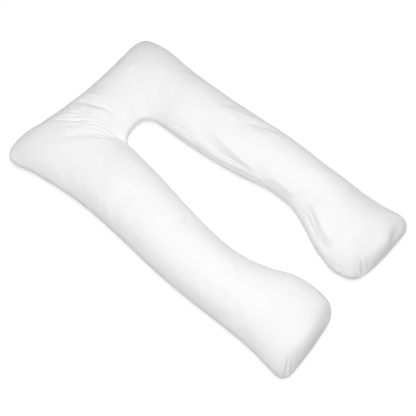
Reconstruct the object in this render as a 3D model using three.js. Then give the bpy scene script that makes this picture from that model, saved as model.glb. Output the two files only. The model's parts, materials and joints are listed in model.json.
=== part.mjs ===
// A U-shaped body pillow lying flat. A straight head end joins two long arms, and each arm flares
// into a foot. Two cloth panels are sewn together all round and stuffed, so the pillow is one filled
// solid: crowned above, flattened where it lies, and drawn in to the seam around its rim.
//
// Millimetres, +Z up, the head end towards +Y and the feet towards -Y. The origin is the centre of
// the pillow's outline, on the surface that it lies on.

import * as THREE from "three";
import { LoftGeometry } from "three/addons/geometries/LoftGeometry.js";

// Driving dimensions
const fullRounding = 185; // the cloth rises for this far in from a seam at most
const leftFootRounding = 46; // and for this far in from the seam across a foot
const rightFootRounding = 54; // which is the softer of the two
const pressDown = 1.32; // how hard the filling presses the underside flat, 1 for barely touching
const columnsAcross = 14; // facets across the pillow, from the inner seam to the outer one

// How the pillow stands at each kind of section: the height of its seams and of its crown above
// the surface, and the distance between sections there.
const stance = {
  footEnd: { innerSeam: 52, outerSeam: 50, crown: 152, spacing: 8 },
  foot: { innerSeam: 66, outerSeam: 60, crown: 162, spacing: 14 },
  slackFoot: { innerSeam: 66, outerSeam: 60, crown: 150, spacing: 14 },
  leftArm: { innerSeam: 80, outerSeam: 70, crown: 168, spacing: 24 },
  rightArm: { innerSeam: 84, outerSeam: 70, crown: 166, spacing: 24 },
  bend: { innerSeam: 80, outerSeam: 68, crown: 154, spacing: 22 },
  leftCorner: { innerSeam: 78, outerSeam: 66, crown: 152, spacing: 16 },
  creased: { innerSeam: 76, outerSeam: 70, crown: 148, spacing: 10 },
  head: { innerSeam: 76, outerSeam: 70, crown: 152, spacing: 20 },
  rightCorner: { innerSeam: 76, outerSeam: 58, crown: 154, spacing: 18 },
};

// The outline is a row for each section, given by where it meets the inner seam and the outer one.
const outlineColumns = ["innerX", "innerY", "outerX", "outerY", "kind"];
const outline = [
  [-119, -742, -402, -750, "footEnd"],
  [-93, -724, -421, -732, "footEnd"],
  [-71, -695, -427, -700, "foot"],
  [-61, -635, -419, -635, "foot"],
  [-73, -530, -411, -530, "leftArm"],
  [-115, -430, -412, -430, "leftArm"],
  [-142, -330, -415, -330, "leftArm"],
  [-145, -210, -416, -210, "leftArm"],
  [-132, -90, -412, -90, "leftArm"],
  [-107, 50, -400, 50, "leftArm"],
  [-82, 190, -390, 190, "leftArm"],
  [-67, 300, -386, 320, "leftArm"],
  [-57, 358, -390, 430, "bend"],
  [-51, 384, -401, 540, "leftCorner"],
  [-43, 402, -417, 640, "leftCorner"],
  [-34, 414, -437, 718, "leftCorner"],
  [-25, 421, -424, 753, "creased"],
  [-15, 426, -382, 774, "creased"],
  [-1, 430, -300, 779, "creased"],
  [17, 434, -208, 761, "creased"],
  [37, 436, -97, 741, "head"],
  [55, 436, 33, 728, "head"],
  [71, 434, 158, 726, "head"],
  [84, 429, 283, 730, "head"],
  [94, 422, 376, 739, "rightCorner"],
  [101, 414, 423, 727, "rightCorner"],
  [108, 401, 441, 645, "rightCorner"],
  [113, 382, 435, 540, "bend"],
  [114, 356, 424, 430, "bend"],
  [113, 300, 418, 320, "rightArm"],
  [115, 190, 417, 190, "rightArm"],
  [124, 50, 421, 50, "rightArm"],
  [143, -90, 424, -90, "rightArm"],
  [167, -210, 421, -210, "rightArm"],
  [163, -330, 414, -330, "rightArm"],
  [123, -430, 411, -430, "rightArm"],
  [73, -530, 408, -530, "rightArm"],
  [51, -635, 413, -635, "foot"],
  [63, -695, 426, -702, "slackFoot"],
  [85, -722, 420, -739, "footEnd"],
  [113, -738, 399, -762, "footEnd"],
];
const leftCornerRow = 15;
const rightCornerRow = 25;
const footBulge = 7; // how far the seam across a foot bows out at its middle

// Soft hollows where the filling is thin, each an ellipse in plan. "turn" is in degrees from +X.
const hollowColumns = ["x", "y", "length", "width", "turn", "depth"];
const hollows = [
  [-62, 400, 62, 30, 105, 24], // drawn in at the left of the bend
  [96, 408, 60, 34, 60, 9], // and less so at its right
  [146, 40, 130, 34, 78, 17], // flat inner flank of the right arm
  [352, -20, 70, 26, 100, 8], // outer flank of the right arm
  [-172, -62, 40, 14, 150, 9], // pinch on the inner flank of the left arm
  [-250, 330, 60, 45, 20, 5], // slack filling where the left arm meets the head end
  [70, 600, 60, 50, 70, 6], // and in the middle of the head end
  [112, -508, 90, 34, 62, 15], // inner flank above the right foot
  [348, -730, 50, 26, 20, 18], // slack corners of the feet
  [112, -705, 40, 24, 140, 8],
  [-385, -715, 36, 22, 150, 9],
];

// Folds, each a trough along a bend through three points of the plan.
const foldColumns = ["fromX", "fromY", "midX", "midY", "toX", "toY", "width", "depth"];
const folds = [
  [-186, 686, -96, 574, -66, 424, 13, 11],
  [-168, 692, -122, 634, -84, 572, 11, 8],
  [-88, 660, -70, 592, -54, 520, 11, 8],
  [-42, 668, 2, 560, -30, 448, 15, 10],
  [-126, 600, -92, 516, -70, 430, 10, 7],
  [-140, 536, -108, 480, -78, 424, 10, 6],
  [300, 44, 348, -30, 362, -128, 13, 8],
  [352, 296, 376, 120, 388, -10, 15, 7],
];

const named = (columns, row) => Object.fromEntries(columns.map((name, i) => [name, row[i]]));
const rows = outline.map((row) => named(outlineColumns, row));
const lastRow = rows.length - 1;

// Both seams are smooth curves through the rows in plan and height, and so is the crown.
const curveThrough = (place) => new THREE.CatmullRomCurve3(rows.map(place));
const innerSeam = curveThrough((r) => new THREE.Vector3(r.innerX, r.innerY, stance[r.kind].innerSeam));
const outerSeam = curveThrough((r) => new THREE.Vector3(r.outerX, r.outerY, stance[r.kind].outerSeam));
const crownLine = curveThrough(
  (r) => new THREE.Vector3((r.innerX + r.outerX) / 2, (r.innerY + r.outerY) / 2, stance[r.kind].crown),
);

// Every row is a section, and so are evenly spaced places between it and the next one.
const places = rows.slice(0, -1).flatMap((row, i) => {
  const spacing = Math.min(stance[row.kind].spacing, stance[rows[i + 1].kind].spacing);
  const run = crownLine.points[i].distanceTo(crownLine.points[i + 1]);
  const steps = Math.ceil(run / spacing);
  return Array.from({ length: steps }, (_, k) => i + k / steps);
});
places.push(lastRow);

const sections = places.map((place) => ({
  place,
  inner: innerSeam.getPoint(place / lastRow),
  outer: outerSeam.getPoint(place / lastRow),
  crown: crownLine.getPoint(place / lastRow).z,
}));

// A point of a section on the line from its inner seam to its outer one, at the seams' height.
// Across the feet that line bows out, less and less up to the second row.
function betweenSeams(section, across) {
  const point = section.inner.clone().lerp(section.outer, across);
  const rowsFromEnd = Math.min(section.place, lastRow - section.place);
  const bow = footBulge * Math.max(0, 1 - rowsFromEnd / 2);
  point.y -= bow * 4 * across * (1 - across);
  return point;
}

// Columns stand closer together near the seams, where the cloth turns under.
const columnAt = (i) => (1 - Math.cos((Math.PI * i) / columnsAcross)) / 2;
const columns = Array.from({ length: columnsAcross + 1 }, (_, i) => columnAt(i));

// The seam in stretches, each a chain of straight pieces in plan.
const flat = (point) => new THREE.Vector3(point.x, point.y, 0);
const chain = (points) => points.slice(1).map((point, i) => new THREE.Line3(flat(points[i]), flat(point)));
const outerStretch = (from, to) =>
  chain(sections.filter((s) => s.place >= from && s.place <= to).map((s) => s.outer));
const footStretch = (section) => chain(columns.map((across) => betweenSeams(section, across)));
const sideStretches = [
  chain(sections.map((s) => s.inner)),
  outerStretch(0, leftCornerRow),
  outerStretch(leftCornerRow, rightCornerRow),
  outerStretch(rightCornerRow, lastRow),
];
const feet = [
  { end: footStretch(sections[0]), rounding: leftFootRounding },
  { end: footStretch(sections.at(-1)), rounding: rightFootRounding },
];

function distanceTo(stretch, point) {
  const nearest = new THREE.Vector3();
  return Math.min(...stretch.map((line) => line.closestPointToPoint(point, true, nearest).distanceTo(point)));
}

// The cloth leaves a seam upright and rounds over to level, as a quarter of an ellipse.
const rounded = (share) => Math.sqrt(1 - (1 - Math.min(share, 1)) ** 2);

function rise(section, point) {
  const halfWidth = flat(section.inner).distanceTo(flat(section.outer)) / 2;
  const reach = Math.min(halfWidth, fullRounding);
  const fromSides = sideStretches.map((stretch) => rounded(distanceTo(stretch, point) / reach));
  const fromFeet = feet.map((foot) => rounded(distanceTo(foot.end, point) / foot.rounding));
  return [...fromSides, ...fromFeet].reduce((product, value) => product * value, 1);
}

function hollowAt(point) {
  let depth = 0;
  for (const row of hollows) {
    const h = named(hollowColumns, row);
    const offset = point.clone().sub(new THREE.Vector3(h.x, h.y, 0));
    offset.applyAxisAngle(new THREE.Vector3(0, 0, 1), -THREE.MathUtils.degToRad(h.turn));
    depth += h.depth * Math.exp(-((offset.x / h.length) ** 2) - (offset.y / h.width) ** 2);
  }
  return depth;
}

const foldLines = folds.map((row) => {
  const f = named(foldColumns, row);
  const route = new THREE.CatmullRomCurve3([
    new THREE.Vector3(f.fromX, f.fromY, 0),
    new THREE.Vector3(f.midX, f.midY, 0),
    new THREE.Vector3(f.toX, f.toY, 0),
  ]);
  return { ...f, points: route.getSpacedPoints(16) };
});

function foldAt(point) {
  let depth = 0;
  for (const fold of foldLines) {
    const distances = fold.points.map((p) => p.distanceTo(point));
    const least = Math.min(...distances);
    const along = distances.indexOf(least) / (fold.points.length - 1);
    const fade = Math.sin(Math.PI * THREE.MathUtils.clamp(along, 0.04, 0.96));
    depth = Math.max(depth, fold.depth * fade * Math.exp(-((least / fold.width) ** 2)));
  }
  return depth;
}

// A ring of points round the pillow at one section: over the top from the outer seam to the inner
// one, then back below. The first and last rings are flat, and close the feet.
function ring(section, i) {
  const above = [];
  const below = [];
  for (const across of columns) {
    const seam = betweenSeams(section, across);
    const point = flat(seam);
    const onSeam = i === 0 || i === sections.length - 1 || across === 0 || across === 1;
    const lift = onSeam ? 0 : rise(section, point);
    const dip = (hollowAt(point) + foldAt(point)) * lift;
    above.push(new THREE.Vector3(seam.x, seam.y, seam.z + (section.crown - seam.z) * lift - dip));
    below.push(new THREE.Vector3(seam.x, seam.y, Math.max(0, seam.z - pressDown * seam.z * lift)));
  }
  return [...above.reverse(), ...below.slice(1, -1)];
}

const cloth = new THREE.MeshStandardMaterial({ color: 0xe9e9ea, roughness: 0.85, metalness: 0 });
const shape = new LoftGeometry(sections.map(ring), { closed: true });
shape.computeBoundingBox();
const centre = shape.boundingBox.getCenter(new THREE.Vector3());
shape.translate(-centre.x, -centre.y, 0);

const pillow = new THREE.Mesh(shape, cloth);
pillow.name = "pillow";

const bodyPillow = new THREE.Group();
bodyPillow.add(pillow);

export default bodyPillow;
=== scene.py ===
import json
import math

import bmesh
import bpy
import numpy as np
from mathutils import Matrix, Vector, noise
from mathutils.bvhtree import BVHTree
from mathutils.kdtree import KDTree

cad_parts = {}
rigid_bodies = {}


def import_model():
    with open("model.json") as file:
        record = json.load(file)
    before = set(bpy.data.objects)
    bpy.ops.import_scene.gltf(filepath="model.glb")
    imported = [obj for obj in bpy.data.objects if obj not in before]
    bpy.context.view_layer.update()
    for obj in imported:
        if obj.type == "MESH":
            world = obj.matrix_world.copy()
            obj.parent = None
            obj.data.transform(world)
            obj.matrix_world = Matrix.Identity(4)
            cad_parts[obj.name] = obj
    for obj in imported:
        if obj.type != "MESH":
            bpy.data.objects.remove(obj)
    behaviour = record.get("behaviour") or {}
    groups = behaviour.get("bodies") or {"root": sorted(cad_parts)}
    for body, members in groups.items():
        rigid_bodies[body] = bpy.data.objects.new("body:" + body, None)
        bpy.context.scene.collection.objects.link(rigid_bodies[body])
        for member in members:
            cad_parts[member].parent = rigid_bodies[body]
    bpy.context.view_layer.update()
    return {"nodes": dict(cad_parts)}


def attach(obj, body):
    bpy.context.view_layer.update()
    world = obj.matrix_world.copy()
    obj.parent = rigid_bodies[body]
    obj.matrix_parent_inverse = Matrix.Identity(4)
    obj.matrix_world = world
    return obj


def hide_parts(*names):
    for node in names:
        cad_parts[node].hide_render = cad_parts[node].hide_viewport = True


# A long U-shaped body pillow of white cotton, lying flat. Metres, +Z up, the closed head end
# towards +Y, the feet towards -Y, the right arm at +X.

for thing in list(bpy.data.objects):  # the cube, lamp and camera of a new file
    bpy.data.objects.remove(thing)

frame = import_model()
print("frame loaded:", ", ".join(sorted(frame["nodes"])))


# The stage, the lights and the camera

stageLook = {
    "floorSize": 60.0,
    "floorColour": (0.5, 0.5, 0.5, 1),
    "floorRoughness": 0.9,
    "floorGlow": 0.56,  # keeps the pale floor pale under the pillow's edge
    "skyStrength": 0.08,
    "softboxPlace": (-0.34, -0.32, 3.4),
    "softboxAim": (-0.1, -0.1, 0.0),
    "softboxSize": 3.0,
    "softboxPower": 163.0,
}

cameraLook = {
    "aim": (-0.0658, -0.0787, 0.075),  # the point in the middle of the picture
    "azimuth": -50.15,  # degrees round from looking along +Y
    "elevation": 64.85,
    "distance": 2.923,
    "sensor": 36,  # mm
    "lens": 60.58,  # mm
}


def makeFloor():
    bpy.ops.object.select_all(action="DESELECT")
    bpy.ops.mesh.primitive_plane_add(size=stageLook["floorSize"], location=(0, 0, 0))
    floor = bpy.context.object
    floor.name = "floor"
    paint = bpy.data.materials.new("paleFloor")
    paint.use_nodes = True
    shader = paint.node_tree.nodes["Principled BSDF"]
    shader.inputs["Base Color"].default_value = stageLook["floorColour"]
    shader.inputs["Roughness"].default_value = stageLook["floorRoughness"]
    shader.inputs["Specular IOR Level"].default_value = 0.0
    shader.inputs["Emission Color"].default_value = (1, 1, 1, 1)
    shader.inputs["Emission Strength"].default_value = stageLook["floorGlow"]
    floor.data.materials.append(paint)
    return floor


def makeLights():
    world = bpy.data.worlds.new("softSky")
    world.use_nodes = True
    sky = world.node_tree.nodes["Background"]
    sky.inputs["Color"].default_value = (1, 1, 1, 1)
    sky.inputs["Strength"].default_value = stageLook["skyStrength"]
    bpy.context.scene.world = world
    bpy.ops.object.light_add(type="AREA", location=stageLook["softboxPlace"])
    softbox = bpy.context.object
    softbox.name = "softbox"
    softbox.data.shape = "SQUARE"
    softbox.data.size = stageLook["softboxSize"]
    softbox.data.energy = stageLook["softboxPower"]
    towards = Vector(stageLook["softboxAim"]) - softbox.location
    softbox.rotation_euler = towards.to_track_quat("-Z", "Y").to_euler()


def makeCamera():
    turn = math.radians(cameraLook["azimuth"])
    lift = math.radians(cameraLook["elevation"])
    back = Vector((math.sin(turn) * math.cos(lift), -math.cos(turn) * math.cos(lift), math.sin(lift)))
    place = Vector(cameraLook["aim"]) + back * cameraLook["distance"]
    bpy.ops.object.camera_add(location=place, rotation=(-back).to_track_quat("-Z", "Y").to_euler())
    camera = bpy.context.object
    camera.data.sensor_width = cameraLook["sensor"]
    camera.data.lens = cameraLook["lens"]
    bpy.context.scene.camera = camera


makeFloor()
makeLights()
makeCamera()
bpy.context.scene.view_settings.view_transform = "Standard"
print("stage, lights and camera ready")


# The pillow. A copy of the solid is cut into even faces and stuffed by a short cloth simulation,
# then its seam, creases and gathers are pressed into the cloth. Tables are in millimetres.

mm = 0.001

pillowLook = {
    "faceSize": 13.5 * mm,  # halved off the floor, and again beside the seam and the creases
    "frames": 20,
    "quality": 6,
    "mass": 0.15,
    "stretchStiffness": 15,
    "shearStiffness": 5,
    "bendStiffness": 2.0,
    "pressure": 4.0,
    "slack": -0.006,  # the cloth is cut this share too large, so that it buckles a little
    "seamGather": 0.008,  # and the seam is drawn up this share short
    "gatherReach": 22 * mm,
    "swellingRounds": 70,  # how widely the even swelling is averaged before it is taken out
    "bucklesKept": 0.5,  # as a share of their height
    "bucklesAtSeam": 0.12,
    "seamCalm": 70 * mm,  # how far from the seam the buckles are held down
    "furthestMove": 6 * mm,
    "pinnedBelow": 2 * mm,  # the cloth that lies on the floor
    "coarseBelow": 6 * mm,
    "plainBelow": 12 * mm,  # lower than this, the seam, folds and lumps fade out
    "fineBesideSeam": 6.5 * mm,
    "fineBesideFold": 6 * mm,
    "finestBesideFold": 4 * mm,
}

# The filling is uneven, so the cloth has soft lumps. Each size of lump has its height and its seed.
lumps = [(170, 1.8, 3), (75, 1.1, 8), (34, 0.4, 14)]

seamLook = {
    "step": 2 * mm,  # between the points of its line
    "grooveDepth": 3.4 * mm,
    "grooveReach": 4.2 * mm,
    "rolledGroove": 0.1,  # how much deeper the groove is where the seam has rolled up
    "fullRoll": 20 * mm,
    "plumpness": 4.5 * mm,  # the cloth bulges on both sides of the seam
    "plumpReach": 26 * mm,
    "puckerSpacing": 15 * mm,
    "puckerHeight": 0.8 * mm,
    "puckerReach": 12 * mm,
    "unevenSize": 60 * mm,  # the puckers crowd and spread over about this length
    "unevenSeed": 21,
}

# Where the seam has rolled up from the rim: the place, the rise, and how far along that reaches.
seamRolls = [
    (118, 190, 14, 70), (125, 90, 20, 80), (135, 0, 22, 70), (150, -84, 30, 60), (165, -141, 30, 45),
    (-425, 703, 12, 40), (-405, 645, 10, 40),
]

foldLook = {
    "step": 4 * mm,  # between the points of a fold's route
    "hollowReach": 20,  # a crease that reaches this far on both sides is round at its bottom
    "hollowPower": 2.0,
    "creasePower": 1.2,  # and the others are sharp there
    "sharpReach": 5,  # one that reaches no further than this on a side gets the finest faces
    "lipPlace": 2.3,  # where the cloth stands up beside it, in reaches
    "lipWidth": 1.1,
}

# Creases and ridges in the upper cloth. Each has its height (below zero for a crease), how far it
# reaches to its left and right, how high the cloth stands up beside it as a share of its height,
# how far its start and its end fade, and the points it runs through.
foldRows = [
    # the creases that fan out from the left of the bend, and the valley that they run into
    (-11, 40, 28, 0, 0.5, 0.55, [(-12, 570), (-2, 520), (-10, 477), (-26, 446), (-40, 424)]),
    (-8, 36, 26, 0, 0.5, 0.2,
     [(-88, 530, 140), (-74, 480, 130), (-64, 445, 118), (-57, 418, 106), (-53, 400, 90),
      (-52, 396, 55)]),
    (-7, 8, 5, 0.12, 0.08, 0.08,
     [(-186, 698), (-181, 689), (-145, 621), (-104, 579), (-78, 529), (-66, 486), (-64, 452),
      (-60, 425), (-55, 408), (-51, 398)]),
    (5.5, 13, 30, 0, 0.4, 0.35, [(-16, 548), (-10, 508), (-16, 474), (-32, 446), (-47, 422)]),
    (-5, 7, 4, 0.3, 0.1, 0.3, [(-165, 692), (-118, 623), (-88, 573), (-74, 540)]),
    (-4, 7, 4, 0.3, 0.15, 0.3, [(-140, 698), (-112, 647), (-79, 603)]),
    (-5.2, 9, 4, 0.15, 0.15, 0.25, [(-73, 640), (-68, 581), (-63, 544), (-56, 505)]),
    (-7, 20, 10, 0.15, 0.15, 0.5,
     [(-48, 684), (-31, 628), (-22, 590), (-10, 557), (-2, 521), (-4, 490), (-14, 460)]),
    (-5, 7, 4, 0.3, 0.3, 0.3, [(-127, 582), (-98, 536), (-81, 504), (-72, 468), (-68, 440)]),
    (-4.4, 6, 4, 0.3, 0.3, 0.25, [(-127, 541), (-100, 497), (-88, 460), (-78, 432)]),
    (-3.8, 6, 4, 0.3, 0.3, 0.3, [(-139, 517), (-108, 478), (-92, 450)]),
    (-2, 8, 4, 0.3, 0.3, 0.4, [(-206, 645), (-167, 597), (-129, 554)]),
    (-3.4, 6, 4, 0.3, 0.3, 0.4, [(-106, 640), (-88, 606), (-70, 566)]),
    (-3, 6, 4, 0.3, 0.3, 0.3, [(-112, 514), (-94, 482), (-80, 452)]),
    (-2.4, 8, 4, 0.3, 0.3, 0.4, [(-150, 500), (-122, 464), (-98, 434)]),
    (-2.5, 7, 4, 0.3, 0.2, 0.4, [(-96, 694), (-84, 662), (-72, 640)]),
    (-3, 10, 6, 0.2, 0.3, 0.5, [(-26, 700), (-17, 648), (-3, 612)]),
    (-3, 12, 7, 0.2, 0.3, 0.5, [(16, 692), (31, 632), (42, 590)]),
    (-2.2, 14, 9, 0.2, 0.4, 0.5, [(74, 680), (86, 624), (98, 580)]),
    (-2.5, 7, 4, 0.3, 0.2, 0.4, [(-118, 692), (-100, 664), (-86, 646)]),
    # the flat inner flank of the right arm and its outer folds
    (14, 56, 32, 0, 0.45, 0.2,
     [(206, 176), (200, 136), (193, 80), (183, 30), (180, -24), (174, -72), (177, -118), (177, -160)]),
    (5, 24, 18, 0, 0.35, 0.35, [(136, 230, 120), (141, 130, 113), (143, 40, 112), (153, -70, 116)]),
    (4.6, 8, 28, 0, 0.2, 0.25, [(282, 30), (315, 1), (336, -30), (351, -67), (357, -103), (357, -150)]),
    (2.4, 11, 24, 0, 0.35, 0.3, [(304, 130), (305, 78), (312, 38)]),
    (3.4, 8, 26, 0, 0.35, 0.25,
     [(322, 230), (319, 184), (324, 137), (340, 89), (358, 41), (376, 1), (396, -35)]),
    (-2, 10, 5, 0.3, 0.3, 0.3, [(124, 297, 116), (136, 235, 128), (142, 186, 131)]),
    (-2.6, 14, 5, 0.1, 0.4, 0.3, [(146, 60, 124), (156, -10, 126), (166, -80, 126), (172, -130, 124)]),
    (-2.4, 12, 5, 0.1, 0.3, 0.3, [(132, 70, 112), (142, 0, 117), (160, -82, 121), (170, -130, 122)]),
    (11, 46, 26, 0, 0.3, 0.25, [(172, -170), (194, -225), (193, -292), (186, -349)]),
    # the right foot
    (15, 56, 34, 0, 0.3, 0.25,
     [(205, -385), (187, -430), (165, -468), (140, -510), (122, -550), (108, -590)]),
    (-3, 16, 5, 0.1, 0.4, 0.4, [(188, -388), (166, -432), (140, -478), (118, -522)]),
    (-3, 14, 5, 0.1, 0.4, 0.4, [(168, -392, 122), (146, -436, 118), (120, -486, 112), (98, -530, 108)]),
    (-3, 14, 5, 0.1, 0.4, 0.4, [(112, -516, 114), (96, -556, 108), (84, -600, 104)]),
    (-8, 40, 80, 0, 0.4, 0.4, [(366, -450), (366, -540), (366, -620), (366, -690)]),
    (-2.5, 7, 8, 0.3, 0.6, 0.4,
     [(96, -612, 132), (88, -628, 125), (76, -645, 112), (60, -664, 86), (54, -672, 60),
      (53, -674, 35)]),
    (-2.5, 6, 7, 0.3, 0.6, 0.4,
     [(130, -655, 142), (122, -672, 136), (112, -692, 120), (98, -714, 88), (92, -722, 60),
      (90, -724, 35)]),
    (-4.5, 6, 7, 0.4, 0.5, 0.4,
     [(146, -672, 138), (138, -692, 128), (128, -712, 108), (116, -728, 82), (110, -737, 55),
      (108, -738, 30)]),
    (-2.5, 6, 6, 0.3, 0.6, 0.4,
     [(166, -688, 132), (157, -708, 118), (150, -726, 98), (145, -740, 72), (144, -745, 50),
      (144, -745, 30)]),
    (-8, 30, 24, 0, 0.5, 0.5, [(372, -734, 100), (335, -743, 100), (303, -742, 104), (240, -747, 98)]),
    # the left foot
    (-4, 5, 6, 0.4, 0.6, 0.3,
     [(-330, -698, 146), (-350, -709, 134), (-370, -720, 115), (-390, -730, 90), (-406, -737, 60),
      (-408, -738, 30)]),
    (-3.2, 5, 5, 0.4, 0.6, 0.3,
     [(-338, -716, 134), (-356, -727, 112), (-374, -738, 90), (-388, -746, 60), (-390, -747, 30)]),
    (-2.4, 6, 6, 0.4, 0.6, 0.3,
     [(-306, -714, 140), (-324, -728, 122), (-344, -742, 92), (-354, -749, 60), (-356, -750, 30)]),
    # the pinch on the inner flank of the left arm
    (-3.2, 14, 4, 0.1, 0.5, 0.3, [(-212, -82, 158), (-188, -70, 147), (-170, -61, 138), (-150, -50, 122)]),
    (-2.6, 14, 4, 0.1, 0.5, 0.3, [(-198, -100, 154), (-170, -125, 135), (-153, -140, 118)]),
]


def selectOnly(thing):
    bpy.ops.object.select_all(action="DESELECT")
    thing.select_set(True)
    bpy.context.view_layer.objects.active = thing


def copyOfNode(name, copyName):
    source = frame["nodes"][name]
    copy = bpy.data.objects.new(copyName, source.data.copy())
    bpy.context.scene.collection.objects.link(copy)
    shell = bmesh.new()
    shell.from_mesh(copy.data)
    bmesh.ops.remove_doubles(shell, verts=shell.verts, dist=0.01 * mm)
    shell.to_mesh(copy.data)
    shell.free()
    return copy


def pointsOf(mesh):
    points = np.empty(len(mesh.vertices) * 3)
    mesh.vertices.foreach_get("co", points)
    return points.reshape(-1, 3)


def normalsOf(mesh):
    normals = np.empty(len(mesh.vertices) * 3)
    mesh.vertex_normals.foreach_get("vector", normals)
    return normals.reshape(-1, 3)


def movePoints(mesh, points):
    mesh.vertices.foreach_set("co", points.ravel())
    mesh.update()


# The corners of the solid's rim in order, where its faces turn from looking up to looking down.
def rimOf(mesh):
    shell = bmesh.new()
    shell.from_mesh(mesh)
    shell.normal_update()
    beside = {}
    for edge in shell.edges:
        if len({face.normal.z > 0 for face in edge.link_faces}) == 2:
            one, other = edge.verts
            beside.setdefault(one.index, []).append(other.index)
            beside.setdefault(other.index, []).append(one.index)
    places = [vertex.co.copy() for vertex in shell.verts]
    shell.free()
    loop = [min(beside)]
    while True:
        onward = [index for index in beside[loop[-1]] if index not in loop[-2:]]
        if not onward or onward[0] == loop[0]:
            break
        loop.append(onward[0])
    return np.array([places[index] for index in loop])


# Evenly spaced points along a chain of points, smoothed a little.
def evenly(chain, spacing, closed=False, rounds=0):
    if closed:
        chain = np.vstack([chain, chain[:1]])
    runs = np.linalg.norm(np.diff(chain, axis=0), axis=1)
    passed = np.concatenate([[0], np.cumsum(runs)])
    count = max(3, int(round(passed[-1] / spacing)))
    stops = np.linspace(0, passed[-1], count, endpoint=not closed)
    even = np.column_stack([np.interp(stops, passed, chain[:, axis]) for axis in range(3)])
    for _ in range(rounds):
        blurred = (np.roll(even, 1, axis=0) + 2 * even + np.roll(even, -1, axis=0)) / 4
        if not closed:
            blurred[0], blurred[-1] = even[0], even[-1]
        even = blurred
    return even


def ontoSurface(points, tree):
    found = [tree.find_nearest(Vector(point)) for point in points]
    return np.array([hit[0] for hit in found]), np.array([hit[1] for hit in found])


def treeOf(mesh):
    return BVHTree.FromPolygons(
        [vertex.co for vertex in mesh.vertices], [polygon.vertices for polygon in mesh.polygons]
    )


# How far the seam has risen from the rim at each point.
def rollAt(points):
    rise = np.zeros(len(points))
    for x, y, height, reach in seamRolls:
        gap = np.hypot(points[:, 0] - x * mm, points[:, 1] - y * mm)
        rise = np.maximum(rise, height * mm * np.exp(-((gap / (reach * mm)) ** 2)))
    return rise


def seamOf(solid):
    seam = rimOf(solid)
    seam[:, 2] += rollAt(seam)
    seam, _ = ontoSurface(seam, treeOf(solid))
    return evenly(seam, 3 * mm, closed=True, rounds=12)


# Every value becomes more like those of its neighbours along the edges.
def spreadOut(values, edges, rounds):
    one, other = edges.T
    size = len(values)
    count = np.bincount(one, minlength=size) + np.bincount(other, minlength=size)
    for _ in range(rounds):
        total = np.empty_like(values)
        for axis in range(values.shape[1]):
            total[:, axis] = np.bincount(one, values[other, axis], size)
            total[:, axis] += np.bincount(other, values[one, axis], size)
        values = (values + total / count[:, None]) / 2
    return values


def edgesOf(mesh):
    edges = np.empty(len(mesh.edges) * 2, dtype=np.int64)
    mesh.edges.foreach_get("vertices", edges)
    return edges.reshape(-1, 2)


def gapTo(chain, points):
    tree = KDTree(len(chain))
    for index, point in enumerate(chain):
        tree.insert(point, index)
    tree.balance()
    found = [tree.find(point) for point in points]
    return np.array([hit[2] for hit in found]), np.array([hit[1] for hit in found])


def cutEvenly(pillow):
    remesh = pillow.modifiers.new("even faces", "REMESH")
    remesh.mode = "VOXEL"
    remesh.voxel_size = pillowLook["faceSize"]
    selectOnly(pillow)
    bpy.ops.object.modifier_apply(modifier=remesh.name)
    print("cut evenly:", len(pillow.data.polygons), "faces")


def stuff(pillow, seam):
    before = pointsOf(pillow.data)
    lying = pillow.vertex_groups.new(name="lying")
    lying.add(np.flatnonzero(before[:, 2] < pillowLook["pinnedBelow"]).tolist(), 1.0, "REPLACE")
    gathered = pillow.vertex_groups.new(name="gathered")
    gap, _ = gapTo(seam, before)
    near = np.exp(-((gap / pillowLook["gatherReach"]) ** 2))
    for index in np.flatnonzero(near > 0.02):
        gathered.add([int(index)], float(near[index]), "REPLACE")
    filling = pillow.modifiers.new("filling", "CLOTH")
    settings = filling.settings
    settings.quality = pillowLook["quality"]
    settings.mass = pillowLook["mass"]
    settings.tension_stiffness = pillowLook["stretchStiffness"]
    settings.compression_stiffness = pillowLook["stretchStiffness"]
    settings.shear_stiffness = pillowLook["shearStiffness"]
    settings.bending_stiffness = pillowLook["bendStiffness"]
    settings.use_pressure = True
    settings.uniform_pressure_force = pillowLook["pressure"]
    settings.effector_weights.gravity = 0
    settings.vertex_group_mass = lying.name
    settings.vertex_group_shrink = gathered.name
    settings.shrink_min = pillowLook["slack"]
    settings.shrink_max = pillowLook["seamGather"]
    filling.collision_settings.use_collision = False
    filling.point_cache.frame_start = 1
    filling.point_cache.frame_end = pillowLook["frames"]
    for step in range(1, pillowLook["frames"] + 1):
        bpy.context.scene.frame_set(step)
    selectOnly(pillow)
    bpy.ops.object.modifier_apply(modifier=filling.name)
    bpy.context.scene.frame_set(1)
    pillow.vertex_groups.clear()

    # The even swelling goes, so that the pillow keeps its outline, and the buckles stay.
    move = pointsOf(pillow.data) - before
    move -= spreadOut(move, edgesOf(pillow.data), pillowLook["swellingRounds"])
    inwards = eased(gap / pillowLook["seamCalm"])[:, None]
    atSeam = pillowLook["bucklesAtSeam"]
    move *= atSeam + (pillowLook["bucklesKept"] - atSeam) * inwards
    length = np.linalg.norm(move, axis=1)[:, None]
    print("stuffed: buckles up to", round(float(length.max() / mm), 1), "mm")
    furthest = pillowLook["furthestMove"]
    move *= furthest * np.tanh(length / furthest) / np.maximum(length, 1e-9)
    after = before + move
    after[:, 2] = np.maximum(after[:, 2], 0)
    movePoints(pillow.data, after)
    _, where = gapTo(before, seam)
    return evenly(seam + move[where], seamLook["step"], closed=True, rounds=6)


# Faces that touch a chosen vertex are cut in four.
def cutFiner(mesh, chosen):
    shell = bmesh.new()
    shell.from_mesh(mesh)
    shell.verts.ensure_lookup_table()
    marked = [shell.verts[index] for index in np.flatnonzero(chosen)]
    faces = {face for vertex in marked for face in vertex.link_faces}
    edges = {edge for face in faces for edge in face.edges}
    bmesh.ops.subdivide_edges(shell, edges=list(edges), cuts=1, use_grid_fill=True)
    shell.to_mesh(mesh)
    shell.free()


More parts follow.
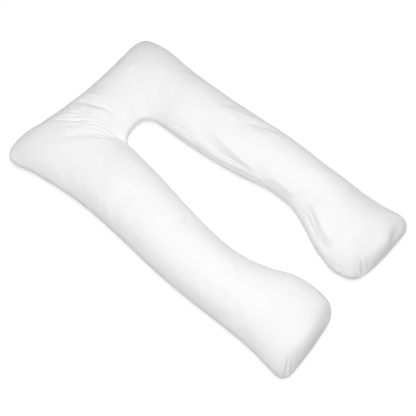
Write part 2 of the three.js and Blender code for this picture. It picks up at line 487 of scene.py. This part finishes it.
# A route over the cloth through points given in plan, or in plan and height on steep cloth.
def routeOf(places, tree):
    steep = len(places[0]) == 3
    rough = np.array([(*place, 160)[:3] for place in places]) * mm
    route = evenly(rough, foldLook["step"], rounds=8)
    if not steep:
        for index, point in enumerate(route):
            hit = tree.ray_cast(Vector((point[0], point[1], 0.4)), Vector((0, 0, -1)))[0]
            if hit:
                route[index] = hit
    return ontoSurface(route, tree)


# For each point, how far it lies from a route, on its left or right, and how far along it.
def besideRoute(points, route, normals):
    nearest = np.full(len(points), np.inf)
    left = np.zeros(len(points), dtype=bool)
    share = np.zeros(len(points))
    steps = np.diff(route, axis=0)
    lengths = np.linalg.norm(steps, axis=1)
    passed = np.concatenate([[0], np.cumsum(lengths)])
    for start, step, length, normal, behind in zip(route, steps, lengths, normals, passed):
        offset = points - start
        along = np.clip(offset @ step / length**2, 0, 1)
        distance = np.linalg.norm(offset - along[:, None] * step, axis=1)
        closer = distance < nearest
        nearest[closer] = distance[closer]
        left[closer] = offset[closer] @ np.cross(normal, step) > 0
        share[closer] = (behind + along[closer] * length) / passed[-1]
    return nearest, left, share


def eased(value):
    value = np.clip(value, 0, 1)
    return value * value * (3 - 2 * value)


def noiseAt(points, size, seed):
    shift = Vector((seed * 7.3, seed * 3.1, seed * 5.7))
    return np.array([noise.noise(Vector(point) / size + shift) for point in points])


def foldHeights(points, row, tree):
    height, leftReach, rightReach, lip, startFade, endFade, places = row
    route, normals = routeOf(places, tree)
    widest = 4 * max(leftReach, rightReach) * mm
    low = route.min(axis=0) - widest
    high = route.max(axis=0) + widest
    near = np.flatnonzero(((points > low) & (points < high)).all(axis=1))
    gap, left, share = besideRoute(points[near], route, normals)
    reach = np.where(left, leftReach, rightReach) * mm
    fade = eased(share / startFade) * eased((1 - share) / endFade)
    hollow = height < 0 and min(leftReach, rightReach) >= foldLook["hollowReach"]
    shape = np.exp(-((gap / reach) ** foldLook["hollowPower" if hollow else "creasePower"]))
    beside = np.exp(-(((gap - foldLook["lipPlace"] * reach) / (foldLook["lipWidth"] * reach)) ** 2))
    heights = np.zeros(len(points))
    heights[near] = height * mm * fade * (shape - lip * beside)
    return heights


def nearFolds(points, rows, reach, tree):
    near = np.zeros(len(points), dtype=bool)
    for row in rows:
        route, _ = routeOf(row[-1], tree)
        near |= gapTo(route, points)[0] < reach
    return near


def lumpHeights(points):
    heights = np.zeros(len(points))
    for size, height, seed in lumps:
        heights += noiseAt(points, size * mm, seed) * height * mm
    return heights


# The groove that the seam is sunk in, the plump cloth beside it and the puckers across it.
def seamHeights(points, seam):
    gap, place = gapTo(seam, points)
    rolled = np.minimum(rollAt(points) / seamLook["fullRoll"], 1)
    deeper = 1 + seamLook["rolledGroove"] * rolled
    groove = seamLook["grooveDepth"] * deeper * np.exp(-((gap / seamLook["grooveReach"]) ** 1.2))
    plump = seamLook["plumpness"] * np.exp(-((gap / seamLook["plumpReach"]) ** 2))
    uneven = noiseAt(points, seamLook["unevenSize"], seamLook["unevenSeed"])
    run = place * seamLook["step"] / seamLook["puckerSpacing"] + uneven * 0.8
    pucker = seamLook["puckerHeight"] * np.sin(2 * np.pi * run) * (0.6 + uneven)
    pucker *= np.exp(-gap / seamLook["puckerReach"]) * gap / (gap + 2 * mm)
    return plump - groove + pucker


pillow = copyOfNode("pillow", "stuffedPillow")
seam = seamOf(pillow.data)
cutEvenly(pillow)
seam = stuff(pillow, seam)

cloth = pillow.data
points = pointsOf(cloth)
cutFiner(cloth, points[:, 2] > pillowLook["coarseBelow"])
points = spreadOut(pointsOf(cloth), edgesOf(cloth), 2)
points[:, 2] = np.maximum(points[:, 2], 0)
movePoints(cloth, points)
tree = treeOf(cloth)
fine = gapTo(seam, points)[0] < pillowLook["fineBesideSeam"]
cutFiner(cloth, fine | nearFolds(points, foldRows, pillowLook["fineBesideFold"], tree))
points = pointsOf(cloth)
sharpRows = [row for row in foldRows if min(row[1:3]) <= foldLook["sharpReach"]]
cutFiner(cloth, nearFolds(points, sharpRows, pillowLook["finestBesideFold"], tree))
cloth.calc_loop_triangles()
print("cut finer:", len(cloth.loop_triangles), "triangles")

points = pointsOf(cloth)
normals = normalsOf(cloth)
heights = seamHeights(points, seam) + lumpHeights(points)
for row in foldRows:
    heights += foldHeights(points, row, tree)
heights *= eased(points[:, 2] / pillowLook["plainBelow"])  # nothing shows where the pillow lies
points += normals * heights[:, None]
points[:, 2] = np.maximum(points[:, 2], 0)
movePoints(cloth, points)
cloth.polygons.foreach_set("use_smooth", np.ones(len(cloth.polygons), dtype=bool))
print("seam, folds and lumps pressed in")

cottonLook = {
    "colour": (0.76, 0.76, 0.76, 1),
    "thinColour": (0.735, 0.735, 0.735, 1),  # where the weave lies thinner
    "roughness": 0.9,
    "roughnessSpread": 0.12,
    "sheen": 0.12,
    "sheenRoughness": 0.5,
    "specular": 0.3,
    "threadSpacing": 0.7 * mm,
    "threadHeight": 0.05 * mm,
    "crinkleSize": 11 * mm,
    "crinkleHeight": 0.25 * mm,
    "slubScale": 260.0,  # slubs are thicker threads here and there
    "patchScale": 9.0,
}


# Small helpers for building nodes and linking them.
def addNode(tree, kind, inputs=None, **settings):
    node = tree.nodes.new(kind)
    for name, value in settings.items():
        setattr(node, name, value)
    for key, value in (inputs or {}).items():
        if isinstance(value, bpy.types.NodeSocket):
            tree.links.new(value, node.inputs[key])
        else:
            node.inputs[key].default_value = value
    return node


def maths(tree, operation, one, other=0.0):
    return addNode(tree, "ShaderNodeMath", {0: one, 1: other}, operation=operation).outputs[0]


# A plain weave, thread over thread, as a height from 0 to 1. It takes places in the cloth's plane.
def weaveGroup():
    group = bpy.data.node_groups.new("plainWeave", "ShaderNodeTree")
    group.interface.new_socket("Across", in_out="INPUT", socket_type="NodeSocketFloat")
    group.interface.new_socket("Along", in_out="INPUT", socket_type="NodeSocketFloat")
    group.interface.new_socket("Height", in_out="OUTPUT", socket_type="NodeSocketFloat")
    given = group.nodes.new("NodeGroupInput")
    result = group.nodes.new("NodeGroupOutput")
    waves = []
    for side in ("Across", "Along"):
        turns = maths(group, "MULTIPLY", given.outputs[side], math.pi / cottonLook["threadSpacing"])
        waves.append(maths(group, "SINE", turns))
    over = maths(group, "GREATER_THAN", maths(group, "MULTIPLY", waves[0], waves[1]), 0.0)
    warp = maths(group, "ABSOLUTE", waves[0])
    weft = maths(group, "ABSOLUTE", waves[1])
    height = addNode(group, "ShaderNodeMix", {0: over, 2: weft, 3: warp}, data_type="FLOAT")
    group.links.new(height.outputs[0], result.inputs["Height"])
    return group


def makeCotton():
    cotton = bpy.data.materials.new("whiteCotton")
    cotton.use_nodes = True
    tree = cotton.node_tree
    shader = tree.nodes["Principled BSDF"]
    place = addNode(tree, "ShaderNodeTexCoord").outputs["Object"]
    plan = addNode(tree, "ShaderNodeSeparateXYZ", {0: place})
    normal = addNode(tree, "ShaderNodeNewGeometry").outputs["Normal"]
    facing = addNode(tree, "ShaderNodeSeparateXYZ", {0: normal})
    weave = weaveGroup()

    # The weave runs in the plane that the cloth faces most: level, or upright along X or along Y.
    heights = []
    for across, along in (("X", "Y"), ("X", "Z"), ("Y", "Z")):
        sheet = addNode(tree, "ShaderNodeGroup", node_tree=weave)
        tree.links.new(plan.outputs[across], sheet.inputs["Across"])
        tree.links.new(plan.outputs[along], sheet.inputs["Along"])
        heights.append(sheet.outputs["Height"])
    level, faceX, faceY = [maths(tree, "ABSOLUTE", facing.outputs[axis]) for axis in ("Z", "X", "Y")]
    upright = addNode(
        tree, "ShaderNodeMix", {0: maths(tree, "GREATER_THAN", faceX, faceY), 2: heights[1], 3: heights[2]},
        data_type="FLOAT",
    ).outputs[0]
    threads = addNode(
        tree, "ShaderNodeMix", {0: maths(tree, "GREATER_THAN", level, 0.6), 2: upright, 3: heights[0]},
        data_type="FLOAT",
    ).outputs[0]

    crinkle = addNode(
        tree, "ShaderNodeTexNoise",
        {"Vector": place, "Scale": 1 / cottonLook["crinkleSize"], "Detail": 3.0, "Roughness": 0.45,
         "Distortion": 0.6},
    ).outputs["Fac"]
    slub = addNode(
        tree, "ShaderNodeTexNoise",
        {"Vector": place, "Scale": cottonLook["slubScale"], "Detail": 2.0, "Roughness": 0.6},
    ).outputs["Fac"]
    patchy = addNode(
        tree, "ShaderNodeTexNoise",
        {"Vector": place, "Scale": cottonLook["patchScale"], "Detail": 4.0, "Roughness": 0.55},
    ).outputs["Fac"]

    thin = maths(tree, "ADD", maths(tree, "MULTIPLY", patchy, 0.6), maths(tree, "MULTIPLY", slub, 0.4))
    colour = addNode(
        tree, "ShaderNodeMix", {0: thin, 6: cottonLook["colour"], 7: cottonLook["thinColour"]},
        data_type="RGBA",
    ).outputs[2]
    spread = cottonLook["roughnessSpread"]
    rough = maths(tree, "MULTIPLY", slub, spread)
    rough = maths(tree, "ADD", rough, cottonLook["roughness"] - spread / 2)
    soft = addNode(
        tree, "ShaderNodeBump",
        {"Strength": 1.0, "Distance": cottonLook["crinkleHeight"], "Height": crinkle},
    ).outputs["Normal"]
    woven = addNode(
        tree, "ShaderNodeBump",
        {"Strength": 1.0, "Distance": cottonLook["threadHeight"], "Height": threads, "Normal": soft},
    ).outputs["Normal"]
    tree.links.new(colour, shader.inputs["Base Color"])
    tree.links.new(rough, shader.inputs["Roughness"])
    tree.links.new(woven, shader.inputs["Normal"])
    shader.inputs["Sheen Weight"].default_value = cottonLook["sheen"]
    shader.inputs["Sheen Roughness"].default_value = cottonLook["sheenRoughness"]
    shader.inputs["Specular IOR Level"].default_value = cottonLook["specular"]
    return cotton


pillow.data.materials.clear()
pillow.data.materials.append(makeCotton())
print("cotton made")
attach(pillow, "root")
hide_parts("pillow")
